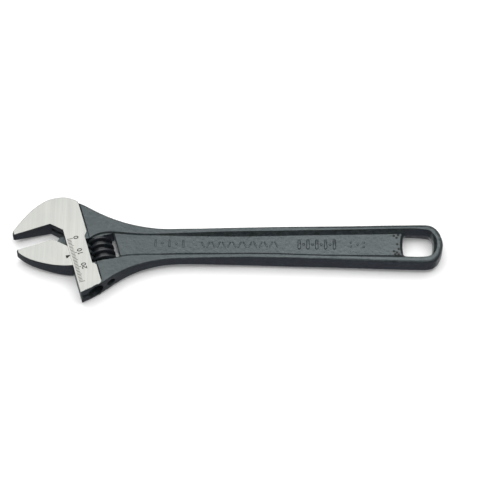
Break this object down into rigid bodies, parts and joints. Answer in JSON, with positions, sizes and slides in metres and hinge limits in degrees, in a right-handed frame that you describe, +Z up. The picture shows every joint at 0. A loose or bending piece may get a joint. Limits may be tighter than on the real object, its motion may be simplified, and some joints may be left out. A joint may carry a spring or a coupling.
{
  "type": "adjustable wrench",
  "caption": "Adjustable wrench with an angled forged head, a sliding jaw driven by an adjusting screw, and a recessed handle with a hang hole.",
  "frame": {"origin": "under the middle of the bounding box, on the level of the adjusting screw's underside, which is the lowest point of the tool lying flat", "axes": "+Z up through the thickness, +X from the jaws along the handle to the hang hole, +Y towards the fixed jaw's side"},
  "size_m": [0.2548, 0.0654, 0.0148],
  "materials": {
    "forged_body": "phosphated forging with ground head faces",
    "jaw_steel": "ground faces, phosphated sides",
    "screw_steel": "blackened and oiled",
    "pin_steel": "blackened",
    "spring_steel": "bright spring wire"
  },
  "bodies": {
    "wrench_body": {"body": "forged_body", "worm_pin": "pin_steel", "worm_spring": "spring_steel"},
    "sliding_jaw": {"movable_jaw": "jaw_steel"},
    "adjusting_screw": {"worm": "screw_steel"}
  },
  "joints": [
    {"name": "jaw_slide", "type": "slide", "parent": "wrench_body", "child": "sliding_jaw", "axis": [0.2756, -0.9613, 0], "range_m": [-0.0106, 0.0193]},
    {"name": "worm_turn", "type": "hinge", "parent": "wrench_body", "child": "adjusting_screw", "pos_m": [-0.07403, -0.00166, 0.0074], "axis": [0.2756, -0.9613, 0], "range_deg": [-900, 1637]}
  ],
  "couplings": [
    {"joint": "worm_turn", "follows": "jaw_slide", "rad_per_m": 1478.4}
  ]
}
